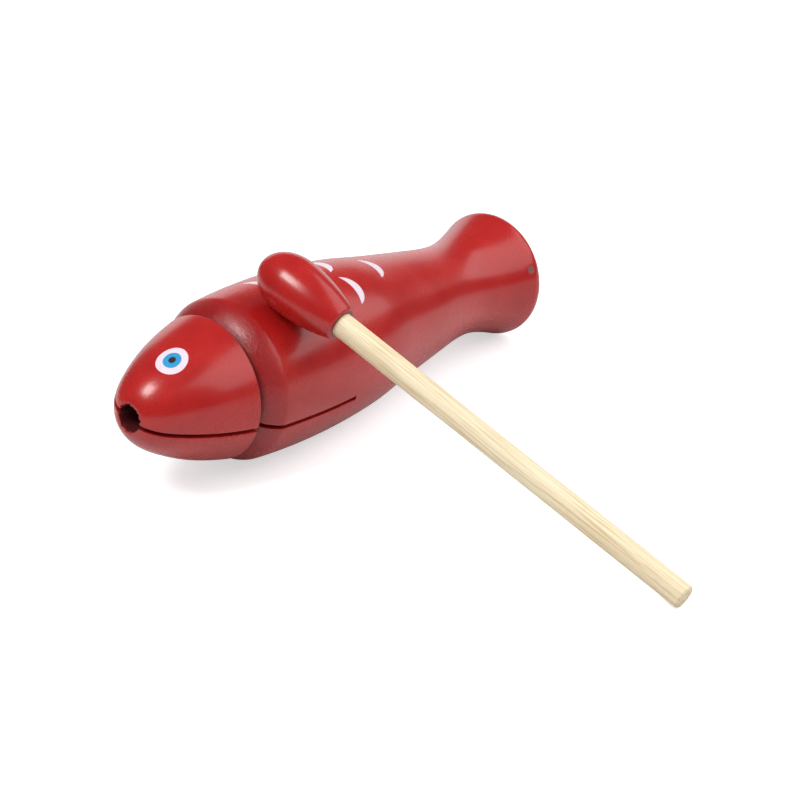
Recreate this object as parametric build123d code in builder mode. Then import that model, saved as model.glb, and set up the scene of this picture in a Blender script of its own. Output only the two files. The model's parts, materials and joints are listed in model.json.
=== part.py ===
from build123d import *
import math
import os

# A turned wooden tone block in the shape of a fish, with a beater leaning on its back.
# Millimetres. The floor is z = 0, the fish's nose points to -X and the beater's handle to -Y.

# ---- driving sizes of the fish ----
fish_length = 184.0    # nose face to tail face
barrel_dia = 56.4      # widest turned diameter of the body
head_dia = 48.2        # rear edge of the head, just before the gill groove
tail_dia = 44.8        # widest diameter of the tail knob
bore_dia = 9.0         # sound hole drilled into the nose
kerf = 1.6             # thickness of the saw cut that makes the mouth
roll = 19.0            # degrees the fish lies turned about its own axis

# ---- driving sizes of the beater ----
dowel_dia = 8.0        # stock the handle is cut from
handle_out = 140.0     # bare handle below the head
beater_dia = 19.4      # widest diameter of the beater's head
beater_length = 34.4   # neck face to rounded end
neck_dia = 11.5        # flat neck face of the head
socket_depth = 18.0    # blind hole for the handle
tenon_dia = 7.0        # end of the handle, turned down to go into the socket
beater_turn = 1.5      # degrees the beater lies off square to the fish

# ---- clearances ----
glue_gap = 0.05        # tenon to socket wall and floor, and shoulder to neck face
rest_gap = 0.1         # beater's head above the fish's back
ink = 0.03             # thickness of one printed layer
ink_gap = 0.005        # printed layer above what it is printed on

# ---- stations along the fish and radii, as shares of its length and widths ----
barrel_r = barrel_dia / 2
head_r = head_dia / 2
tail_r = tail_dia / 2
bore_r = bore_dia / 2
nose_r = bore_r + 0.9
head_end = 0.186 * fish_length
groove_at = head_end + 0.6
groove_r = 0.855 * head_r
shoulder_at = 0.238 * fish_length
widest_at = 0.356 * fish_length
barrel_end = 0.53 * fish_length
waist_at = 0.867 * fish_length
waist_r = 0.605 * barrel_r
rim_round = 0.16 * tail_r
barrel_sweep = 1.4 * fish_length           # long radius of the barrel's gentle belly
barrel_low = barrel_r - barrel_sweep       # centre of that arc, on the far side of the axis
bore_depth = 0.5 * fish_length
kerf_length = 0.42 * fish_length


def solve_angle(across, down, height):
    # angle t with across * sin(t) + down * cos(t) = height
    return math.asin(height / math.hypot(across, down)) - math.atan2(down, across)


def barrel_height(station):
    return barrel_low + math.sqrt(barrel_sweep ** 2 - (station - widest_at) ** 2)


def rim_point(degrees):
    # a point on the rounded tail rim, so far past its widest ring
    turn = math.radians(degrees)
    return rim_at + rim_round * math.sin(turn), rim_low + rim_round * math.cos(turn)


rim_at = fish_length - rim_round           # widest ring of the tail knob
rim_low = tail_r - rim_round
flare = math.radians(20)
flare_end = rim_point(-20)                 # where the flare runs into the rim

# ---- how the fish lies: the barrel and the tail rim both touch the floor ----
tilt = solve_angle(rim_at - widest_at, rim_low - barrel_low, barrel_sweep - rim_round)
nose_z = widest_at * math.sin(tilt) + barrel_low * math.cos(tilt) + barrel_sweep
nose_x = -(rim_at * math.cos(tilt) + rim_low * math.sin(tilt) + rim_round - nose_r * math.sin(tilt)) / 2
along = Vector(math.cos(tilt), 0, -math.sin(tilt))     # nose to tail
above = Vector(math.sin(tilt), 0, math.cos(tilt))      # square to the axis, upwards
near = Vector(0, -1, 0)                                # level, towards the handle's side

# ---- how the beater lies: head on the fish's back, end rim on the floor ----
handle_r = dowel_dia / 2
beater_r = beater_dia / 2
handle_chamfer = 0.5
touch_at = handle_out + 0.73 * beater_length           # station of the beater above the contact
rest_at = 0.301 * fish_length                          # station of the fish under the contact
reach = barrel_height(rest_at) + beater_r + rest_gap   # axis to axis


def beater_lie(lean):
    # direction from handle end to head, and the handle end's centre before centring
    turn = math.radians(beater_turn)
    flat = math.cos(lean)
    toward = Vector(-flat * math.sin(turn), flat * math.cos(turn), math.sin(lean))
    over = along.cross(toward).normalized()
    touch = along * rest_at + over * reach + Vector(0, 0, nose_z)
    return toward, touch - toward * touch_at


def floor_error(lean):
    toward, end = beater_lie(lean)
    return end.Z - handle_r * math.cos(lean) + handle_chamfer * math.sin(lean)


low, high = math.radians(5), math.radians(60)
for step in range(50):
    middle = (low + high) / 2
    if floor_error(middle) > 0:
        low = middle
    else:
        high = middle
lean = (low + high) / 2
toward, end = beater_lie(lean)
end_rim_y = (handle_r - handle_chamfer) * math.sqrt(1 - toward.Y ** 2)
centre_y = -(barrel_r + end.Y - end_rim_y) / 2         # puts the whole part's middle on y = 0
nose = Vector(nose_x, centre_y, nose_z)
handle_end = end + Vector(nose_x, centre_y, 0)

# ---- work planes ----
meridian = Plane(origin=nose, x_dir=along, z_dir=near)
fish_axis = Axis(nose, along)
swing = math.radians(roll)
face_up = near * math.sin(swing) + above * math.cos(swing)    # square to the saw cut
cut_plane = Plane(origin=nose, x_dir=along, z_dir=face_up)
beater_side = Vector(toward.Y, -toward.X, 0).normalized()
beater_plane = Plane(origin=handle_end, x_dir=toward, z_dir=beater_side)
beater_axis = Axis(handle_end, toward)


def head_curve(lift=0.0):
    # the ogive of the head, nose to rear edge, drawn lift above the wood
    return Spline(
        (0, nose_r + lift),
        (0.09 * head_end, 0.42 * head_r + lift),
        (0.304 * head_end, 0.633 * head_r + lift),
        (0.625 * head_end, 0.844 * head_r + lift),
        (head_end, head_r + lift),
        tangents=((0.35, 1.0), (1.0, 0.24)),
    )


def belly_curve(lift=0.0):
    # the long arc of the barrel
    return ThreePointArc(
        (shoulder_at, barrel_height(shoulder_at) + lift),
        (widest_at, barrel_r + lift),
        (barrel_end, barrel_height(barrel_end) + lift),
    )


def back_curve(lift=0.0):
    # from the barrel through the waist to the flare of the tail
    slope = -(barrel_end - widest_at) / (barrel_height(barrel_end) - barrel_low)
    return Spline(
        (barrel_end, barrel_height(barrel_end) + lift),
        (0.602 * fish_length, 0.844 * barrel_r + lift),
        (0.747 * fish_length, 0.678 * barrel_r + lift),
        (waist_at, waist_r + lift),
        (flare_end[0], flare_end[1] + lift),
        tangents=((1.0, slope), (1.0, math.tan(flare))),
    )


# ---- fish block: turned, drilled from the nose and sawn ----
with BuildPart() as fish_block:
    with BuildSketch(meridian):
        with BuildLine():
            Line((0, 0), (0, nose_r))
            head_curve()
            Line((head_end, head_r), (groove_at, groove_r))
            shoulder_slope = (widest_at - shoulder_at) / (barrel_height(shoulder_at) - barrel_low)
            Spline(
                (groove_at, groove_r),
                (groove_at + 0.3 * (shoulder_at - groove_at), groove_r + 0.38 * (barrel_r - groove_r)),
                (groove_at + 0.7 * (shoulder_at - groove_at), groove_r + 0.74 * (barrel_r - groove_r)),
                (shoulder_at, barrel_height(shoulder_at)),
                tangents=((1.0, 0.6), (1.0, shoulder_slope)),
            )
            belly_curve()
            back_curve()
            ThreePointArc(flare_end, rim_point(35), (fish_length, rim_low))
            Line((fish_length, rim_low), (fish_length, 0))
            Line((fish_length, 0), (0, 0))
        make_face()
    revolve(axis=fish_axis)
    with BuildSketch(meridian):
        with BuildLine():
            Polyline((-1, 0), (-1, bore_r), (bore_depth, bore_r), (bore_depth + 0.6 * bore_r, 0), close=True)
        make_face()
    revolve(axis=fish_axis, mode=Mode.SUBTRACT)
    with BuildSketch(cut_plane):
        with Locations((kerf_length / 2 - 2, 0)):
            Rectangle(kerf_length + 4, barrel_dia + 10)
    extrude(amount=kerf / 2, both=True, mode=Mode.SUBTRACT)
fish_block.part.label = "fish_block"

# ---- beater head: turned teardrop with a blind socket ----
widest_t = handle_out + 0.61 * beater_length
neck_r = neck_dia / 2
tenon_r = tenon_dia / 2
socket_r = tenon_r + glue_gap
with BuildPart() as beater_head:
    with BuildSketch(beater_plane):
        with BuildLine():
            TangentArc((widest_t, beater_r), (handle_out, neck_r), tangent=(-1, 0))
            Line((handle_out, neck_r), (handle_out, socket_r))
            Line((handle_out, socket_r), (handle_out + socket_depth, socket_r))
            Line((handle_out + socket_depth, socket_r), (handle_out + socket_depth, 0))
            Line((handle_out + socket_depth, 0), (handle_out + beater_length, 0))
            EllipticalCenterArc((widest_t, 0), 0.39 * beater_length, beater_r, start_angle=0, arc_size=90)
        make_face()
    revolve(axis=beater_axis)
beater_head.part.label = "beater_head"

# ---- beater handle: a length of dowel, its free end chamfered, the other a shouldered tenon ----
with BuildPart() as beater_handle:
    with BuildSketch(Plane(origin=handle_end, z_dir=toward)):
        Circle(handle_r)
    extrude(amount=handle_out - glue_gap)
    chamfer(beater_handle.faces().sort_by(beater_axis)[0].edges(), handle_chamfer)
    with BuildSketch(Plane(origin=handle_end + toward * (handle_out - glue_gap), z_dir=toward)):
        Circle(tenon_r)
    extrude(amount=socket_depth)
beater_handle.part.label = "beater_handle"


# ---- printed marks: flat artwork pressed on to the upper and the under face ----
eye_at = 0.42 * head_end
eye_dia = 0.405 * head_r
scale_half = 0.21 * barrel_r               # half the height of a crescent
scale_side = 0.272 * barrel_r              # how far a pair stands off the middle line
scale_outer = 0.0255 * fish_length         # bulge of a crescent's outer edge
scale_inner = 0.0077 * fish_length         # bulge of its inner edge
first_pair = 0.314 * fish_length
first_single = 0.415 * fish_length
row_pitch = 0.1605 * fish_length
print_off = 4.0                            # degrees the artwork sits off square to the saw cut
print_height = barrel_r + 5
print_swing = math.radians(roll - print_off)
printed_up = near * math.sin(print_swing) + above * math.cos(print_swing)


def ink_skin(curve, layer=1):
    # a thin turned skin over the wood, from which one printed layer is cut
    low_side = ink_gap + (layer - 1) * (ink + ink_gap)
    with BuildPart() as skin:
        with BuildSketch(meridian):
            with BuildLine():
                inner = curve(low_side)
                outer = curve(low_side + ink)
                Line(inner @ 0, outer @ 0)
                Line(inner @ 1, outer @ 1)
            make_face()
        revolve(axis=fish_axis)
    return skin.part


def eye_layer(face, outward, dia, layer):
    with BuildPart() as print_layer:
        with BuildSketch(Plane(origin=nose + outward * print_height, x_dir=along, z_dir=outward)):
            with Locations((eye_at, 0)):
                Circle(dia / 2)
        extrude(amount=-print_height)
        add(head_skins[layer - 1], mode=Mode.INTERSECT)
    names = ("eye_white", "eye_iris", "eye_pupil")
    print_layer.part.label = f"{names[layer - 1]}_{face}"
    export_step(print_layer.part, f"parts/{print_layer.part.label}.step")


def scale_mark(face, outward, number, station, side, skin):
    with BuildPart() as mark:
        with BuildSketch(Plane(origin=nose + outward * print_height, x_dir=along, z_dir=outward)):
            with BuildLine():
                upper_tip = (station, side + scale_half)
                lower_tip = (station, side - scale_half)
                ThreePointArc(lower_tip, (station + scale_outer, side), upper_tip)
                ThreePointArc(upper_tip, (station + scale_inner, side), lower_tip)
            make_face()
        extrude(amount=-print_height)
        add(skin, mode=Mode.INTERSECT)
    mark.part.label = f"scale_{face}{number}"
    export_step(mark.part, f"parts/{mark.part.label}.step")


os.makedirs("parts", exist_ok=True)
export_step(fish_block.part, "parts/fish_block.step")
export_step(beater_head.part, "parts/beater_head.step")
export_step(beater_handle.part, "parts/beater_handle.step")

head_skins = [ink_skin(head_curve, layer) for layer in (1, 2, 3)]
belly_skin = ink_skin(belly_curve)
back_skin = ink_skin(back_curve)
for face, outward in (("a", printed_up), ("b", printed_up * -1)):
    eye_layer(face, outward, eye_dia, 1)
    eye_layer(face, outward, 0.57 * eye_dia, 2)
    eye_layer(face, outward, 0.23 * eye_dia, 3)
    scale_mark(face, outward, 1, first_pair, -scale_side, belly_skin)
    scale_mark(face, outward, 2, first_pair, scale_side, belly_skin)
    scale_mark(face, outward, 3, first_single, 0, belly_skin)
    scale_mark(face, outward, 4, first_pair + row_pitch, -scale_side, belly_skin)
    scale_mark(face, outward, 5, first_pair + row_pitch, scale_side, belly_skin)
    scale_mark(face, outward, 6, first_single + row_pitch, 0, back_skin)
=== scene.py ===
# %% [markdown]
# # A fish-shaped tone block and its beater
# The real thing is a block of wood turned on a lathe into a fish, drilled from the nose,
# sawn to make a mouth, lacquered red and printed with eyes and scales. A small round-headed
# beater leans on its back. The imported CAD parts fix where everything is, so this lesson
# loads them first and measures everything else from them. The box taken here is the size
# that the finished pieces have to keep to.

# %% Load the frame
import json
import math

import bmesh
import bpy
import numpy as np
from mathutils import Matrix, Vector, noise


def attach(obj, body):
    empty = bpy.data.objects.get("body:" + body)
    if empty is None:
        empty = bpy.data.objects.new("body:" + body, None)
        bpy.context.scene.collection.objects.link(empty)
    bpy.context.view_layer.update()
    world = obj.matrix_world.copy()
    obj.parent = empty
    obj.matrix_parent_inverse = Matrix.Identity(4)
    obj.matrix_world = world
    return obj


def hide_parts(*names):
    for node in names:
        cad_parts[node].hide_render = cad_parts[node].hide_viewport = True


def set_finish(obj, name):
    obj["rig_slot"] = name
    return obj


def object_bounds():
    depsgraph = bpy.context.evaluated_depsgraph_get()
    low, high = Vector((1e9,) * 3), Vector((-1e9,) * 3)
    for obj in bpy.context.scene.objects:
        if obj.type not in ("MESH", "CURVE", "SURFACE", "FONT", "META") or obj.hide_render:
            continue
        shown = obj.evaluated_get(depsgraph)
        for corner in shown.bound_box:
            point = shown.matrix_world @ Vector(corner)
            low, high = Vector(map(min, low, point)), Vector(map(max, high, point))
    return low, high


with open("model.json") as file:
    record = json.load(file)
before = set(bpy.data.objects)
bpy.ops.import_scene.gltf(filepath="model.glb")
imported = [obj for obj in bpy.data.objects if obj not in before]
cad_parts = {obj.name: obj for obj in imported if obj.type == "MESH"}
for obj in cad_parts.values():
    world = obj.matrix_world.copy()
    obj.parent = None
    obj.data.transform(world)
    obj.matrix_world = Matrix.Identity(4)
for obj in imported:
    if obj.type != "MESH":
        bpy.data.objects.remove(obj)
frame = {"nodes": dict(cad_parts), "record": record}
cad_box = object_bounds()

mm = 0.001
print("CAD box in mm:", [[round(x / mm, 2) for x in corner] for corner in cad_box])

# %% [markdown]
# ## Where the camera stands
# A long lens from about three quarters of a metre keeps the fish's length from stretching
# towards us. The camera looks down at about 26 degrees across the fish's near side, so that
# the nose, the mouth and the whole beater are seen at once. It is made first because every
# later choice of light is judged through it.

# %% Camera
camera_at = Vector((-0.5614, -0.4339, 0.3708))
look_turn = math.radians(40.05)      # from the tail's direction, +X, round towards +Y
look_down = math.radians(25.93)
look = Vector((
    math.cos(look_turn) * math.cos(look_down),
    math.sin(look_turn) * math.cos(look_down),
    -math.sin(look_down),
))
camera = bpy.data.objects.new("camera", bpy.data.cameras.new("camera"))
bpy.context.scene.collection.objects.link(camera)
camera.location = camera_at
camera.rotation_euler = look.to_track_quat("-Z", "Y").to_euler()
camera.data.sensor_width = 36.0
camera.data.lens = 110.7
bpy.context.scene.camera = camera
print("the camera stands", round((camera_at - Vector((0, 0, 0.03))).length, 3), "m away")

# %% [markdown]
# ## Measuring the turned parts
# A turned shape is known once its axis and its outline are. The record's mounts give both
# axes: the flat of the tail for the fish, and the round handle for the beater. Every corner
# of a CAD node is then a station along the axis and a radius off it, and the sizes that
# matter are the largest and smallest of those.

# %% Axes and sizes of the fish
mounts = {mount["name"]: mount for mount in frame["record"]["mounts"]}
tail_centre = Vector(mounts["tail_face"]["pos_m"])
along = Vector(mounts["tail_face"]["axis"]).normalized()


def turned_sizes(node, origin, axis):
    """How far along an axis, and how far off it, every corner of a CAD node lies."""
    corners = np.array([v.co - origin for v in frame["nodes"][node].data.vertices])
    far = corners @ np.array(axis)
    off = np.linalg.norm(corners - np.outer(far, np.array(axis)), axis=1)
    return far, off


far, off = turned_sizes("fish_block", tail_centre, along)
length = -far.min()
nose = tail_centre - along * length
station = far + length
bore_r = mounts["nose_bore"]["dims"]["r_mm"] * mm
bore_depth = mounts["nose_bore"]["dims"]["length_mm"] * mm
nose_r = bore_r + 0.9 * mm
barrel_r = off.max()
head_end = 0.186 * length
head_r = off[station < head_end + 0.01 * mm].max()
tail_r = off[station > 0.9 * length].max()
print("fish", round(length / mm, 1), "long; head, barrel and tail",
      [round(2 * r / mm, 1) for r in (head_r, barrel_r, tail_r)], "across")

# %% The saw cut
flats = [p for p in frame["nodes"]["fish_block"].data.polygons if abs(p.normal.dot(along)) < 0.001]
widest_flat = max(flats, key=lambda p: p.area)       # a wall of the saw cut
cut_up = widest_flat.normal.copy()
if cut_up.z < 0:
    cut_up.negate()
cut_side = along.cross(cut_up)                        # lies in the cut, level with the mouth
if cut_side.y > 0:
    cut_side.negate()
half_kerf = abs((widest_flat.center - nose).dot(cut_up))
corner_at = frame["nodes"]["fish_block"].data.vertices
walls = [p for p in flats if abs(p.normal.dot(cut_up)) > 0.99999
         and abs(abs((p.center - nose).dot(cut_up)) - half_kerf) < 0.01 * mm]
kerf_end = max((corner_at[i].co - nose).dot(along) for p in walls for i in p.vertices)
print("saw cut", round(2 * half_kerf / mm, 2), "thick,", round(kerf_end / mm, 2), "deep, rolled",
      round(math.degrees(math.acos(cut_up.dot(Vector((0, 0, 1))))), 1), "degrees")

# %% [markdown]
# ## The outline
# A turner works from a template: a few points and the way the curve leaves its ends. A
# cubic curve through those points, with its bend kept continuous, is what a bent strip of
# steel would do. The points are shares of the fish's own length and radii, and the barrel
# between them is one long arc.

# %% Curves of the template


def template_curve(points, first, last, steps):
    """Points along a smooth curve through the given ones, with its directions at both ends."""
    p = np.array(points, float)
    gap = np.linalg.norm(np.diff(p, axis=0), axis=1)
    knot = np.concatenate([[0], np.cumsum(gap)])
    count = len(p)
    rule = np.zeros((count, count))
    want = np.zeros((count, 2))
    rule[0, 0] = rule[-1, -1] = 1
    want[0] = np.array(first) / np.linalg.norm(first)
    want[-1] = np.array(last) / np.linalg.norm(last)
    for i in range(1, count - 1):
        before, after = gap[i - 1], gap[i]
        rule[i, i - 1:i + 2] = after, 2 * (before + after), before
        want[i] = 3 * (after * (p[i] - p[i - 1]) / before + before * (p[i + 1] - p[i]) / after)
    slope = np.linalg.solve(rule, want)
    made = []
    for u in np.linspace(0, knot[-1], steps + 1):
        i = min(max(int(np.searchsorted(knot, u)) - 1, 0), count - 2)
        w, h = (u - knot[i]) / gap[i], gap[i]
        made.append(tuple(
            (1 + 2 * w) * (1 - w) ** 2 * p[i] + w * (1 - w) ** 2 * h * slope[i]
            + w * w * (3 - 2 * w) * p[i + 1] + w * w * (w - 1) * h * slope[i + 1]
        ))
    return made


def eased_corner(before, corner, after, size, steps=4):
    """The corner between two straight runs, rounded off over a short distance."""
    a, c, b = (Vector(x) for x in (before, corner, after))
    start = c + (a - c).normalized() * size
    end = c + (b - c).normalized() * size
    turn = np.linspace(0, 1, steps + 1)
    return [tuple(start * (1 - w) ** 2 + c * 2 * w * (1 - w) + end * w * w) for w in turn]


# %% The fish's outline
groove_at = head_end + 0.6 * mm
groove_r = 0.855 * head_r
shoulder_at = 0.238 * length
widest_at = 0.356 * length
barrel_end = 0.53 * length
sweep = 1.4 * length                  # radius of the barrel's long arc


def belly(at):
    return barrel_r - sweep + math.sqrt(sweep ** 2 - (at - widest_at) ** 2)


def belly_slope(at):
    return (widest_at - at) / (belly(at) - barrel_r + sweep)


head = template_curve(
    [(0, nose_r), (0.09 * head_end, 0.42 * head_r), (0.304 * head_end, 0.633 * head_r),
     (0.625 * head_end, 0.844 * head_r), (head_end, head_r)],
    (0.35, 1), (1, 0.24), 64)
rise = barrel_r - groove_r
run = shoulder_at - groove_at
collar = template_curve(
    [(groove_at, groove_r), (groove_at + 0.3 * run, groove_r + 0.38 * rise),
     (groove_at + 0.7 * run, groove_r + 0.74 * rise), (shoulder_at, belly(shoulder_at))],
    (1, 0.6), (1, belly_slope(shoulder_at)), 26)
rim_round = 0.16 * tail_r
rim_at = length - rim_round
rim_low = tail_r - rim_round
rim = [(rim_at + rim_round * math.sin(turn), rim_low + rim_round * math.cos(turn))
       for turn in np.radians(np.linspace(-20, 90, 13))]
back = template_curve(
    [(barrel_end, belly(barrel_end)), (0.602 * length, 0.844 * barrel_r),
     (0.747 * length, 0.678 * barrel_r), (0.867 * length, 0.605 * barrel_r), rim[0]],
    (1, belly_slope(barrel_end)), (1, math.tan(math.radians(20))), 72)
cut_tip = kerf_end + 0.02 * mm
front_belly = [(at, belly(at)) for at in np.linspace(shoulder_at, kerf_end, 26)]
rear_belly = [(at, belly(at)) for at in np.linspace(cut_tip, barrel_end, 14)]
head_edge = eased_corner(head[-2], head[-1], (groove_at, groove_r), 0.35 * mm)
cut_deeper = 0.9 * mm                    # the parting tool's point goes below the collar's foot
groove_foot = [(groove_at - 0.15 * mm, groove_r - cut_deeper), (groove_at, groove_r - cut_deeper),
               (groove_at + 0.3 * mm, groove_r)]
outside = head[:-1] + head_edge + groove_foot + collar[1:-1] + front_belly + rear_belly
outside += back[1:-1] + rim
print(len(outside), "points in the outline; behind the saw cut the CAD block's corners lie within",
      round(max(abs(o - np.interp(s, *np.array(outside).T)) for s, o in zip(station, off)
                if o > nose_r and s > kerf_end and s < length - rim_round) / mm, 3), "mm of it")

# %% [markdown]
# ## Turning the fish
# On a lathe the outline is swept round the axis, and bmesh.ops.spin does just that, with
# the drilled bore as part of the same outline. The sweep starts in the plane of the saw
# cut, so a row of edges lies exactly along each side of the mouth. Those rows are split
# and drawn apart by the thickness of the saw, every point keeping its own radius, and the
# gap's inner walls are bridged. A Boolean would leave slivers along the lips instead.

# %% Spin the outline
turn_steps = 256


def point_at(at, radius):
    return nose + along * at + cut_side * radius


front = [p for p in outside if p[0] <= cut_tip]
bore_wall = [(at, bore_r) for at, radius in reversed(front)]
drilled = [(bore_depth + 0.6 * bore_r, 0), (bore_depth, bore_r)] + bore_wall
tail_flat = [(length, rim_low * share) for share in (0.75, 0.5, 0.25, 0)]
whole_outline = drilled + outside + tail_flat
fish_mesh = bmesh.new()
wire = [fish_mesh.verts.new(point_at(*p)) for p in whole_outline]
edges = [fish_mesh.edges.new(pair) for pair in zip(wire, wire[1:])]
bmesh.ops.spin(fish_mesh, geom=wire + edges, cent=nose, axis=along, angle=2 * math.pi,
               steps=turn_steps, use_merge=True, use_duplicate=False)
bmesh.ops.remove_doubles(fish_mesh, verts=fish_mesh.verts, dist=0.002 * mm)
print("turned fish:", len(fish_mesh.faces), "faces")

# %% Split the mouth and draw it open


def place(co):
    """Station, sideways and upward distance of a point, measured from the saw cut."""
    q = co - nose
    return q.dot(along), q.dot(cut_side), q.dot(cut_up)


on_plane = 0.003 * mm                    # closer than this counts as in the cut's own plane


def in_cut(v):
    at, side, up = place(v.co)
    return abs(up) < on_plane and at < cut_tip + on_plane and abs(side) > 0.5 * bore_r


mouth_edges = [e for e in fish_mesh.edges if in_cut(e.verts[0]) and in_cut(e.verts[1])]
bmesh.ops.split_edges(fish_mesh, edges=mouth_edges)
fade_length = 9 * mm
lip_drop = 0.22 * mm                     # the lips' edges are worn down a little
for v in list(fish_mesh.verts):
    at, side, up = place(v.co)
    radius = math.hypot(side, up)
    if at > kerf_end + fade_length or radius < half_kerf:
        continue
    on_lip = abs(up) < on_plane
    if on_lip and at > kerf_end + on_plane:
        continue
    upper = sum((f.calc_center_median() - nose).dot(cut_up) for f in v.link_faces) > 0
    fade = 1 - min(max((at - kerf_end) / fade_length, 0), 1)
    open_by = math.asin(half_kerf / radius) * fade * fade * (3 - 2 * fade)
    angle = open_by + (math.pi - 2 * open_by) * abs(math.atan2(up, side)) / math.pi
    if on_lip and radius > nose_r:
        radius -= min(lip_drop, 0.35 * radius * 2 * math.pi / turn_steps)
    sign = 1 if upper else -1
    v.co = nose + along * at + cut_side * radius * math.cos(angle) + cut_up * radius * math.sin(angle) * sign
rims = [e for e in fish_mesh.edges if len(e.link_faces) == 1]
for way in (1, -1):
    sides = [e for e in rims if place(e.verts[0].co)[1] * way > 0]
    lips = [e for e in sides if min(math.hypot(*place(v.co)[1:]) for v in e.verts) > nose_r - 0.3 * mm]
    inner = [e for e in sides if max(math.hypot(*place(v.co)[1:]) for v in e.verts) < bore_r + 0.01 * mm]
    bmesh.ops.bridge_loops(fish_mesh, edges=lips + inner)
    print("mouth side", way, "lips", len(lips), "inner", len(inner))
open_edges = [e for e in fish_mesh.edges if len(e.link_faces) != 2]
print("edges left open:", len(open_edges))

# %% [markdown]
# ## Finishing the fish's wood
# A drill tears the end grain where it enters, so the hole's edge is ragged, and the tail
# rim has taken a knock. Both are moved points, driven by smooth seeded noise, and both only
# take wood away, so the block keeps inside its CAD size. Three marks are stored on the
# points for the finish to read. The first is how much painted shade a place gets, in the bore
# and in the groove behind the head. The second is where the lacquer is gone. The third marks
# the collar near the groove: its grain was left coarse because the sander can't reach into
# the groove, and its colour is painted darker as shade.

# %% Ragged hole, knocked rim
chip_at = 178.6 * mm                      # station of the knock on the tail rim
chip_turn = math.radians(39)              # its angle up from the mouth's plane
chip_size = 1.1 * mm


def ragged(co, scale, seed):
    """Smooth noise from 0 to 1 that changes over about the given distance."""
    return 0.5 + 0.5 * noise.noise(co / scale + Vector((seed, 0.7 * seed, 0)))


shade_end = groove_at + 2.2 * mm           # as far behind the head's edge as the painted shade in the groove reaches
shade_fade = 1.2 * mm

painted_shade = fish_mesh.verts.layers.float.new("painted_shade")
bared = fish_mesh.verts.layers.float.new("bared")
coarse_and_shaded = fish_mesh.verts.layers.float.new("coarse_and_shaded")
for v in fish_mesh.verts:
    at, side, up = place(v.co)
    radius = math.hypot(side, up)
    outward = (cut_side * side + cut_up * up) / max(radius, 1e-9)
    deep = 0.0
    # Painted shade: the bore's wall is darkened, and it is lighter only at its torn mouth.
    if radius < bore_r + 0.05 * mm and at < bore_depth + 3 * mm:
        deep = 1.0
        if at < 2.2 * mm and radius > 0.9 * bore_r:
            torn = max(0.0, ragged(v.co, 1.1 * mm, 3) - 0.42) * (1 - at / (2.2 * mm))
            v.co += outward * torn * 1.7 * mm
            v.co += along * max(0.0, ragged(v.co, 0.8 * mm, 8) - 0.5) * (0.9 * mm if at < 0.01 * mm else 0)
            deep = min(1.0, 0.35 + at / (1.5 * mm))
    # Painted shade: the groove behind the head's edge and the foot of the collar are darkened, fading out
    # along the collar.
    if head_end + 0.02 * mm < at < shade_end and bore_r + mm < radius < head_r - 0.3 * mm:
        deep = min(0.95, (shade_end - at) / shade_fade)
    v[painted_shade] = deep
    # The collar's mark runs from the groove to just past the shoulder: it raises the grain there and also
    # paints the collar darker as shade.
    collar_way = (at - groove_at) / (shoulder_at - groove_at)
    v[coarse_and_shaded] = min(1.0, max(0.0, 2.2 - 2.0 * collar_way)) if collar_way > 0 else 0.0
    knock = math.hypot(at - chip_at, (math.atan2(up, side) - chip_turn) * radius * 0.6)
    if radius > 0.8 * tail_r and at < length - 0.1 * mm and knock < chip_size:
        hollow = (1 - (knock / chip_size) ** 2) * (0.5 + 0.5 * ragged(v.co, 0.5 * mm, 5))
        v.co -= outward * hollow * 0.3 * mm
        v[bared] = min(1.0, 1.6 * hollow)
print("torn and knocked points:", sum(v[bared] > 0 for v in fish_mesh.verts), "bared,",
      sum(v[painted_shade] > 0 for v in fish_mesh.verts), "inside the wood")


def finished_piece(name, mesh, sharp_above=42.0):
    """A mesh piece at the origin, with clean outward faces and smooth shading but for true edges."""
    bmesh.ops.recalc_face_normals(mesh, faces=mesh.faces)
    for face in mesh.faces:
        face.smooth = True
    for edge in mesh.edges:
        edge.smooth = len(edge.link_faces) == 2 and edge.calc_face_angle() < math.radians(sharp_above)
    data = bpy.data.meshes.new(name)
    mesh.to_mesh(data)
    mesh.free()
    piece = bpy.data.objects.new(name, data)
    bpy.context.scene.collection.objects.link(piece)
    print(name, len(data.polygons), "faces")
    return piece


fish = finished_piece("lacquered_fish", fish_mesh)
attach(fish, "fish")
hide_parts("fish_block")
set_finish(fish, "red_lacquer")

# %% [markdown]
# ## The beater's head
# The head is turned too: a long arc swells from the flat neck, and half an ellipse closes
# the end. The handle's tenon is glued into a blind hole, so the outline goes in at the neck
# and stops on the axis, and the spin closes it.

# %% Beater sizes and head
handle_mount = mounts["handle"]
toward = -Vector(handle_mount["axis"]).normalized()
handle_point = Vector(handle_mount["pos_m"])
handle_r = handle_mount["dims"]["r_mm"] * mm
far, off = turned_sizes("beater_handle", handle_point, toward)
handle_end = handle_point + toward * far.min()
tenon_end = far.max() - far.min()
shoulder = max(far[off > 0.95 * handle_r]) - far.min()
tenon_r = off[far > far.max() - 0.01 * mm].max()
far, off = turned_sizes("beater_head", handle_end, toward)
neck_at, head_top, beater_r = far.min(), far.max(), off.max()
neck_r = off[far < neck_at + 0.01 * mm].max()
beater_length = head_top - neck_at
beater_wide_at = neck_at + 0.61 * beater_length
beater_side = toward.orthogonal().normalized()
print("beater head", round(beater_length / mm, 1), "long,", round(2 * beater_r / mm, 1),
      "across; handle shows", round(neck_at / mm, 1))


def spun_piece(name, outline, origin, axis, sideways, steps):
    """A closed turned piece from an outline that starts and ends on the axis."""
    mesh = bmesh.new()
    wire = [mesh.verts.new(origin + axis * at + sideways * radius) for at, radius in outline]
    edges = [mesh.edges.new(pair) for pair in zip(wire, wire[1:])]
    bmesh.ops.spin(mesh, geom=wire + edges, cent=origin, axis=axis, angle=2 * math.pi,
                   steps=steps, use_merge=True, use_duplicate=False)
    bmesh.ops.remove_doubles(mesh, verts=mesh.verts, dist=0.002 * mm)
    return finished_piece(name, mesh)


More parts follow.
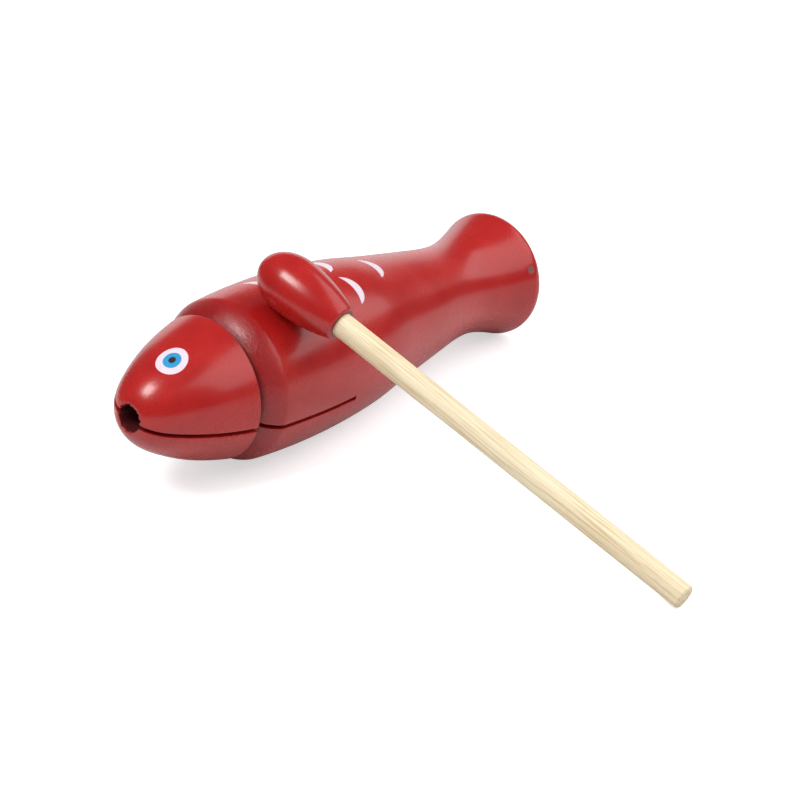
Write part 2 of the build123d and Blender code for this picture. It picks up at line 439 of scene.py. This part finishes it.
swell = beater_wide_at - neck_at
swell_r = (swell ** 2 + (beater_r - neck_r) ** 2) / (2 * (beater_r - neck_r))
side_curve = [(at, beater_r - swell_r + math.sqrt(swell_r ** 2 - (beater_wide_at - at) ** 2))
              for at in np.linspace(neck_at, beater_wide_at, 40)]
cap = 0.39 * beater_length
end_curve = [(beater_wide_at + cap * math.sin(turn), beater_r * math.cos(turn))
             for turn in np.radians(np.linspace(0, 90, 36))[1:]]
socket_r = tenon_r + 0.05 * mm
socket_end = tenon_end + 0.05 * mm
neck_edge = eased_corner((neck_at, socket_r), (neck_at, neck_r), side_curve[2], 0.8 * mm, 6)
head_outline = [(socket_end, 0), (socket_end, socket_r), (neck_at, socket_r)] + neck_edge
head_outline += side_curve[1:] + end_curve[:-1] + [(head_top, 0)]
beater_head = spun_piece("lacquered_beater_head", head_outline, handle_end, toward, beater_side, 144)
# Painted shade: the beater's flat neck face round the handle, and its socket, are darkened by the stored
# shade value.
neck_shade_mark = beater_head.data.attributes.new("painted_shade", "FLOAT", "POINT")
for v, mark in zip(beater_head.data.vertices, neck_shade_mark.data):
    q = v.co - handle_end
    at = q.dot(toward)
    mark.value = 0.45 if at < neck_at + 0.05 * mm and (q - toward * at).length < neck_r - 0.5 * mm else 0.0
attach(beater_head, "beater")
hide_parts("beater_head")
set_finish(beater_head, "red_lacquer")

# %% [markdown]
# ## The handle
# A length of dowel, left bare. Its free end is sawn off and the edge broken with a small
# chamfer. Dowel isn't perfectly round, and a faint swell and flat along its length keep its
# highlight from being a ruled line.

# %% Handle
chamfer = 0.5 * mm
low_edge = eased_corner((0, 0), (0, handle_r - chamfer), (chamfer, handle_r), 0.12 * mm, 2)
top_edge = eased_corner((0, handle_r - chamfer), (chamfer, handle_r), (2 * mm, handle_r), 0.15 * mm, 2)
shaft = [(at, handle_r) for at in np.linspace(chamfer + 0.5 * mm, shoulder, 70)]
tenon = [(shoulder, tenon_r), (tenon_end, tenon_r), (tenon_end, 0)]
dowel_outline = [(0, 0), (0, 0.5 * handle_r)] + low_edge + top_edge + shaft + tenon
beater_handle = spun_piece("bare_handle", dowel_outline, handle_end, toward, beater_side, 96)
for v in beater_handle.data.vertices:
    q = v.co - handle_end
    at = q.dot(toward)
    sideways = q - toward * at
    if sideways.length > 0.8 * handle_r and at < shoulder:
        flat = 0.5 + 0.5 * noise.noise(sideways / (3 * mm) + Vector((0, 0, at / (45 * mm))))
        v.co -= sideways.normalized() * flat * 0.06 * mm
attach(beater_handle, "beater")
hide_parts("beater_handle")
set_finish(beater_handle, "bare_wood")

# %% [markdown]
# ## The printed marks
# Eyes and scales are ink pressed on to the finished curve, so each mark starts as flat
# artwork and is wrapped: a point keeps its station and its distance to the side, and rises
# to the fish's own radius there. Each mark takes its place and size from its CAD skin. A
# grid gives a crescent points all over, and a spun spoke does the same for a disc, because
# a single flat face couldn't bend.

# %% Wrapping artwork round the fish
outline_at, outline_r = np.array(outside).T
ink_thickness = 0.03 * mm
ink_gap = 0.005 * mm


def printed_skin(node):
    """Where a printed CAD skin lies: its facing direction and its corners, measured from the nose."""
    corners = [v.co - nose for v in frame["nodes"][node].data.vertices]
    middle = sum(corners, Vector()) / len(corners)
    face = 1 if middle.z > (along * middle.dot(along)).z else -1
    return face, corners


eye_corners = printed_skin("eye_pupil_a")[1]
eye_middle = sum(eye_corners, Vector()) / len(eye_corners)
print_up = (eye_middle - along * eye_middle.dot(along)).normalized()
print_side = print_up.cross(along)


def wrapped_piece(name, mesh, face, lift):
    """Bends flat artwork, drawn in stations and sideways distances, round the fish as ink."""
    for v in mesh.verts:
        at, sideways = v.co.x, v.co.y
        radius = float(np.interp(at, outline_at, outline_r)) + lift
        height = math.sqrt(radius ** 2 - sideways ** 2)
        v.co = nose + along * at + print_side * sideways + print_up * height * face
    bmesh.ops.remove_doubles(mesh, verts=mesh.verts, dist=0.004 * mm)
    bmesh.ops.recalc_face_normals(mesh, faces=mesh.faces)
    some_face = next(iter(mesh.faces))
    if some_face.normal.dot(print_up) * face < 0:
        bmesh.ops.reverse_faces(mesh, faces=mesh.faces)
    bmesh.ops.solidify(mesh, geom=mesh.faces[:], thickness=ink_thickness)
    return finished_piece(name, mesh)


def print_extents(node):
    face, corners = printed_skin(node)
    at = [c.dot(along) for c in corners]
    sideways = [c.dot(print_side) for c in corners]
    return face, min(at), max(at), min(sideways), max(sideways)


# %% Scale marks
inner_share = 0.302                       # bulge of a crescent's hollow edge against its outer one


def crescent(name, node):
    face, tips, bulge, low, high = print_extents(node)
    middle, half = (low + high) / 2, (high - low) / 2
    mesh = bmesh.new()
    bmesh.ops.create_grid(mesh, x_segments=8, y_segments=36, size=0.5)
    for v in mesh.verts:
        across, share = v.co.x + 0.5, 2 * v.co.y
        outer = arc_height(bulge - tips, half, share)
        inner = arc_height(inner_share * (bulge - tips), half, share)
        v.co = Vector((tips + inner + (outer - inner) * across, middle + half * share, 0))
    return wrapped_piece(name, mesh, face, ink_gap)


def arc_height(rise, half, share):
    """Height of a circular arc over its chord, at a share of the way to the chord's end."""
    radius = (half ** 2 + rise ** 2) / (2 * rise)
    return rise - radius + math.sqrt(max(radius ** 2 - (half * share) ** 2, 0))


scale_pieces = []
for node in [n for n in frame["nodes"] if n.startswith("scale_")]:
    piece = crescent("printed_" + node, node)
    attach(piece, "fish")
    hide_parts(node)
    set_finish(piece, "white_ink")
    scale_pieces.append(piece)

# %% Eyes


def disc(name, node, layer):
    face, first, last, low, high = print_extents(node)
    centre, radius = Vector(((first + last) / 2, (low + high) / 2, 0)), (high - low) / 2
    mesh = bmesh.new()
    spoke = [mesh.verts.new(centre + Vector((radius * share, 0, 0))) for share in np.linspace(0, 1, 13)]
    edges = [mesh.edges.new(pair) for pair in zip(spoke, spoke[1:])]
    bmesh.ops.spin(mesh, geom=spoke + edges, cent=centre, axis=(0, 0, 1), angle=2 * math.pi,
                   steps=72, use_merge=True, use_duplicate=False)
    return wrapped_piece(name, mesh, face, ink_gap + layer * (ink_thickness + ink_gap))


eye_layers = {"white": "white_ink", "iris": "blue_ink", "pupil": "black_ink"}
eye_pieces = {}
for side_name in "ab":
    for layer, (part, ink) in enumerate(eye_layers.items()):
        node = f"eye_{part}_{side_name}"
        piece = disc("printed_" + node, node, layer)
        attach(piece, "fish")
        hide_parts(node)
        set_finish(piece, ink)
        eye_pieces[node] = piece

# %% [markdown]
# ## Red lacquer
# The finish is brushed or dipped nitrocellulose lacquer over sanded wood: a strong red,
# satin-gloss, a little uneven where it gathered, with the wood's pores and a trace of its
# grain under it and a few nibs of dust in it. Nodes can give all of that from the place of
# a point in the wood. In the bore and down in the groove only a thin first coat soaks in,
# which leaves it dull. The stored shade value there and on the beater's neck face also
# paints shade, making the red darker. "bared" shows the wood, and the collar's mark paints
# the collar darker as shade and raises its grain.

# %% Node helpers


def new_finish(name):
    """A material with its shader and its output, and the helper that adds nodes to it."""
    finish = bpy.data.materials.new(name)
    finish.use_nodes = True
    nodes = finish.node_tree.nodes
    return finish, nodes["Principled BSDF"], nodes, finish.node_tree.links


def object_place(nodes, links, turned_to=None, stretch=(1, 1, 1)):
    """Object coordinates, turned so that their X runs along a direction, then stretched."""
    at = nodes.new("ShaderNodeTexCoord").outputs["Object"]
    turn = nodes.new("ShaderNodeMapping")
    links.new(at, turn.inputs["Vector"])
    if turned_to is not None:
        turn.inputs["Rotation"].default_value = turned_to.rotation_difference(Vector((1, 0, 0))).to_euler()
    scale = nodes.new("ShaderNodeMapping")
    scale.inputs["Scale"].default_value = stretch
    links.new(turn.outputs["Vector"], scale.inputs["Vector"])
    return scale.outputs["Vector"]


def noise_field(nodes, links, at, size, detail=3.0, rough=0.5):
    """A noise whose blotches are about the given size in metres."""
    field = nodes.new("ShaderNodeTexNoise")
    field.inputs["Scale"].default_value = 1 / size
    field.inputs["Detail"].default_value = detail
    field.inputs["Roughness"].default_value = rough
    links.new(at, field.inputs["Vector"])
    return field.outputs["Fac"]


def spread(nodes, links, value, low, high, to_low=0.0, to_high=1.0):
    """Maps a range of a value to another range, held at its ends."""
    node = nodes.new("ShaderNodeMapRange")
    links.new(value, node.inputs["Value"])
    for socket, number in zip(("From Min", "From Max", "To Min", "To Max"), (low, high, to_low, to_high)):
        node.inputs[socket].default_value = number
    return node.outputs["Result"]


def mixed(nodes, links, share, first, second, kind="MIX"):
    """A colour between two others, each a colour or another node's output."""
    node = nodes.new("ShaderNodeMix")
    node.data_type = "RGBA"
    node.blend_type = kind
    for socket, value in (("Factor", share), ("A", first), ("B", second)):
        slot = next(s for s in node.inputs if s.name == socket and (s.type == "RGBA") == (socket != "Factor")
                    and s.enabled)
        if isinstance(value, bpy.types.NodeSocket):
            links.new(value, slot)
        else:
            slot.default_value = (*value, 1) if isinstance(value, tuple) else value
    return next(s for s in node.outputs if s.type == "RGBA" and s.enabled)


def math_node(nodes, links, operation, first, second):
    node = nodes.new("ShaderNodeMath")
    node.operation = operation
    for slot, value in zip(node.inputs, (first, second)):
        if isinstance(value, bpy.types.NodeSocket):
            links.new(value, slot)
        else:
            slot.default_value = value
    return node.outputs["Value"]


def bumped(nodes, links, height, distance, strength=1.0, under=None):
    """A bump of the given real height, over another bump if there is one."""
    node = nodes.new("ShaderNodeBump")
    node.inputs["Distance"].default_value = distance
    if isinstance(strength, bpy.types.NodeSocket):
        links.new(strength, node.inputs["Strength"])
    else:
        node.inputs["Strength"].default_value = strength
    links.new(height, node.inputs["Height"])
    if under is not None:
        links.new(under, node.inputs["Normal"])
    return node.outputs["Normal"]


# %% The lacquer


def red_lacquer(name, grain_along):
    finish, shader, nodes, links = new_finish(name)
    place_in_wood = object_place(nodes, links)
    grain_place = object_place(nodes, links, grain_along, (1, 14, 14))
    clouds = noise_field(nodes, links, place_in_wood, 14 * mm, 4)
    mottle = noise_field(nodes, links, place_in_wood, 1.3 * mm, 3, 0.6)
    grain = noise_field(nodes, links, grain_place, 12 * mm, 5, 0.6)
    cloudy = spread(nodes, links, clouds, 0.3, 0.7)
    coats = mixed(nodes, links, cloudy, (0.335, 0.0075, 0.0070), (0.41, 0.0120, 0.0095))
    gathered = spread(nodes, links, mottle, 0.35, 0.75, 0.0, 0.35)
    coats = mixed(nodes, links, gathered, coats, (0.26, 0.0050, 0.0055))
    nibs = nodes.new("ShaderNodeTexVoronoi")
    nibs.inputs["Scale"].default_value = 60
    links.new(place_in_wood, nibs.inputs["Vector"])
    nib = spread(nodes, links, nibs.outputs["Distance"], 0.010, 0.018, 1.0, 0.0)
    coats = mixed(nodes, links, math_node(nodes, links, "MULTIPLY", nib, 0.55), coats, (0.75, 0.30, 0.20))
    shade_mark = nodes.new("ShaderNodeAttribute")
    shade_mark.attribute_name = "painted_shade"
    collar_grain_and_shade = nodes.new("ShaderNodeAttribute")
    collar_grain_and_shade.attribute_name = "coarse_and_shaded"
    gone = nodes.new("ShaderNodeAttribute")
    gone.attribute_name = "bared"
    # Painted shade: the collar's mark darkens the collar face near the groove.
    collar_painted_shade = math_node(nodes, links, "MULTIPLY", collar_grain_and_shade.outputs["Fac"], 0.6)
    coats = mixed(nodes, links, collar_painted_shade, coats, (0.20, 0.0040, 0.0060))
    # Painted shade: the stored shade value darkens the red in the bore, in the groove and on the beater's
    # neck face.
    coats = mixed(nodes, links, shade_mark.outputs["Fac"], coats, (0.070, 0.0020, 0.0030))
    coats = mixed(nodes, links, gone.outputs["Fac"], coats, (0.10, 0.075, 0.065))
    links.new(coats, shader.inputs["Base Color"])
    gloss = spread(nodes, links, clouds, 0.3, 0.7, 0.20, 0.27)
    gloss = math_node(nodes, links, "ADD", gloss, spread(nodes, links, mottle, 0.3, 0.8, 0.0, 0.05))
    dulled = math_node(nodes, links, "MAXIMUM", shade_mark.outputs["Fac"], gone.outputs["Fac"])
    gloss = math_node(nodes, links, "ADD", gloss, math_node(nodes, links, "MULTIPLY", dulled, 0.4))
    links.new(gloss, shader.inputs["Roughness"])
    shader.inputs["IOR"].default_value = 1.5
    shader.inputs["Coat Weight"].default_value = 0.12
    shader.inputs["Coat Roughness"].default_value = 0.12
    peel = bumped(nodes, links, noise_field(nodes, links, place_in_wood, 0.8 * mm, 2), 0.016 * mm)
    torn_grain = noise_field(nodes, links, place_in_wood, 0.55 * mm, 3, 0.7)
    peel = bumped(nodes, links, torn_grain, 0.15 * mm, collar_grain_and_shade.outputs["Fac"], peel)
    pores = bumped(nodes, links, grain, 0.03 * mm, 0.5, peel)
    rise = bumped(nodes, links, nib, 0.05 * mm, 1.0, pores)
    links.new(rise, shader.inputs["Normal"])
    return finish


lacquer_on_fish = red_lacquer("red_lacquer_on_fish", along)
lacquer_on_beater = red_lacquer("red_lacquer_on_beater", toward)
fish.data.materials.append(lacquer_on_fish)
beater_head.data.materials.append(lacquer_on_beater)

# %% [markdown]
# ## Bare dowel
# Pale, straight-grained wood such as birch or ramin: soft lengthwise bands a millimetre or
# so wide, thin darker streaks, and short open pores. The bands are noise in the wood itself
# with its coordinates squeezed along the handle, so the sawn end shows them cut across.

# %% Dowel wood


def dowel_wood(name, grain_along):
    finish, shader, nodes, links = new_finish(name)
    rings_at = object_place(nodes, links, grain_along, (0.035, 1, 1))
    streaks_at = object_place(nodes, links, grain_along, (0.02, 1, 1))
    pores_at = object_place(nodes, links, grain_along, (0.09, 1, 1))
    bands = noise_field(nodes, links, rings_at, 1.8 * mm, 3, 0.55)
    streaks = noise_field(nodes, links, streaks_at, 0.5 * mm, 3, 0.6)
    pores = noise_field(nodes, links, pores_at, 0.28 * mm, 2, 0.6)
    drift = noise_field(nodes, links, object_place(nodes, links), 22 * mm, 2)
    late = spread(nodes, links, bands, 0.32, 0.68)
    wood = mixed(nodes, links, late, (0.76, 0.655, 0.455), (0.66, 0.535, 0.345))
    dark_lines = spread(nodes, links, streaks, 0.50, 0.62, 0.0, 0.8)
    wood = mixed(nodes, links, dark_lines, wood, (0.50, 0.375, 0.205))
    open_pores = spread(nodes, links, pores, 0.63, 0.72, 0.0, 0.5)
    wood = mixed(nodes, links, open_pores, wood, (0.42, 0.27, 0.12))
    pale_places = spread(nodes, links, drift, 0.35, 0.7, 0.0, 0.25)
    wood = mixed(nodes, links, pale_places, wood, (0.70, 0.62, 0.47))
    links.new(wood, shader.inputs["Base Color"])
    links.new(spread(nodes, links, streaks, 0.3, 0.7, 0.48, 0.62), shader.inputs["Roughness"])
    shader.inputs["Specular IOR Level"].default_value = 0.4
    fibre = bumped(nodes, links, streaks, 0.03 * mm, 0.6)
    links.new(bumped(nodes, links, pores, 0.04 * mm, 0.5, fibre), shader.inputs["Normal"])
    return finish


beater_handle.data.materials.append(dowel_wood("bare_dowel", toward))

# %% [markdown]
# ## Printing ink
# Pad-printed ink dries to a thin satin film that isn't perfectly even: it lies thinner in
# places, where a breath of the red comes through, and its surface has a fine tooth.

# %% Inks


def printing_ink(name, colour, thin_colour, dull):
    finish, shader, nodes, links = new_finish(name)
    at = object_place(nodes, links)
    cover = noise_field(nodes, links, at, 2.2 * mm, 4, 0.6)
    tooth = noise_field(nodes, links, at, 0.35 * mm, 2)
    film = mixed(nodes, links, spread(nodes, links, cover, 0.4, 0.8, 0.0, 0.8), colour, thin_colour)
    links.new(film, shader.inputs["Base Color"])
    links.new(spread(nodes, links, tooth, 0.3, 0.7, dull - 0.05, dull + 0.08), shader.inputs["Roughness"])
    links.new(bumped(nodes, links, tooth, 0.006 * mm), shader.inputs["Normal"])
    return finish


inks = {
    "white_ink": printing_ink("white_printing_ink", (0.64, 0.55, 0.62), (0.60, 0.49, 0.56), 0.42),
    "blue_ink": printing_ink("blue_printing_ink", (0.012, 0.25, 0.50), (0.02, 0.20, 0.42), 0.38),
    "black_ink": printing_ink("black_printing_ink", (0.012, 0.010, 0.012), (0.03, 0.022, 0.022), 0.35),
}
for piece in scale_pieces + list(eye_pieces.values()):
    piece.data.materials.append(inks[piece["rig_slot"]])

# %% [markdown]
# ## Floor and light
# A plain pale sweep of paper, and light as in a small product studio. One wide soft box to
# the right of the camera is the broad patch mirrored on the head and the tail. A small one
# high on the left gives the sparks near the nose and on the beater. A low pale panel behind
# the object gives the top edges their pink rim, and an even light from above keeps the
# shadows soft. The paper is a strip that runs away from the camera: past its sides the room
# is dim, so the lacquer has something dark to mirror. Its grey is lifted to white only for
# the camera, which keeps it from lighting the fish from below.

# %% Floor
floor_mesh = bmesh.new()
bmesh.ops.create_grid(floor_mesh, x_segments=2, y_segments=2, size=1)
half_long, half_wide = 2.5, 0.42
for v in floor_mesh.verts:
    v.co = Matrix.Rotation(look_turn, 3, "Z") @ Vector((v.co.x * half_long, v.co.y * half_wide, 0))
floor_data = bpy.data.meshes.new("table")
floor_mesh.to_mesh(floor_data)
floor_mesh.free()
table = bpy.data.objects.new("table", floor_data)
bpy.context.scene.collection.objects.link(table)
table.location.z = cad_box[0].z - 0.02 * mm
finish, shader, nodes, links = new_finish("white_table")
shader.inputs["Base Color"].default_value = (0.68, 0.68, 0.68, 1)
shader.inputs["Roughness"].default_value = 0.6
shader.inputs["Specular IOR Level"].default_value = 0.1
shader.inputs["Emission Color"].default_value = (1, 1, 1, 1)
seen_by_camera = nodes.new("ShaderNodeLightPath").outputs["Is Camera Ray"]
links.new(math_node(nodes, links, "MULTIPLY", seen_by_camera, 0.57), shader.inputs["Emission Strength"])
table.data.materials.append(finish)

# %% Lamps


def soft_box(name, turn, height, away, width, tall, power):
    """A rectangular lamp at a turn and height in degrees round the object, facing it."""
    lamp = bpy.data.lights.new(name, "AREA")
    lamp.shape = "RECTANGLE"
    lamp.size, lamp.size_y, lamp.energy = width, tall, power
    box = bpy.data.objects.new(name, lamp)
    bpy.context.scene.collection.objects.link(box)
    a, e = math.radians(turn), math.radians(height)
    out = Vector((math.cos(a) * math.cos(e), math.sin(a) * math.cos(e), math.sin(e)))
    box.location = Vector((0, 0, 0.03)) + out * away
    box.rotation_euler = out.to_track_quat("Z", "Y").to_euler()
    box.visible_camera = False
    return box


soft_box("wide_box_right", -52, 42, 1.0, 1.5, 0.9, 7.6)
soft_box("small_box_left", 165, 53, 1.0, 0.34, 0.34, 5.8)
soft_box("white_backdrop", 42, 8, 1.2, 1.3, 0.5, 2.0)
overhead = bpy.data.lights.new("overhead", "SUN")
overhead.energy = 1.3
overhead.angle = math.radians(100)
overhead_lamp = bpy.data.objects.new("overhead", overhead)
overhead_lamp.visible_glossy = False
bpy.context.scene.collection.objects.link(overhead_lamp)

# %% Room
room = bpy.data.worlds.new("room")
bpy.context.scene.world = room
room.use_nodes = True
room_nodes, room_links = room.node_tree.nodes, room.node_tree.links
path = room_nodes.new("ShaderNodeLightPath")
glow = room_nodes["Background"]
glow.inputs["Color"].default_value = (1, 1, 1, 1)
mirrored = spread(room_nodes, room_links, path.outputs["Is Glossy Ray"], 0, 1, 0.34, 0.12)
strength = spread(room_nodes, room_links, path.outputs["Is Camera Ray"], 0, 1, 0, 1.0)
strength = math_node(room_nodes, room_links, "MAXIMUM", strength, mirrored)
room_links.new(strength, glow.inputs["Strength"])
bpy.context.scene.view_settings.view_transform = "Standard"
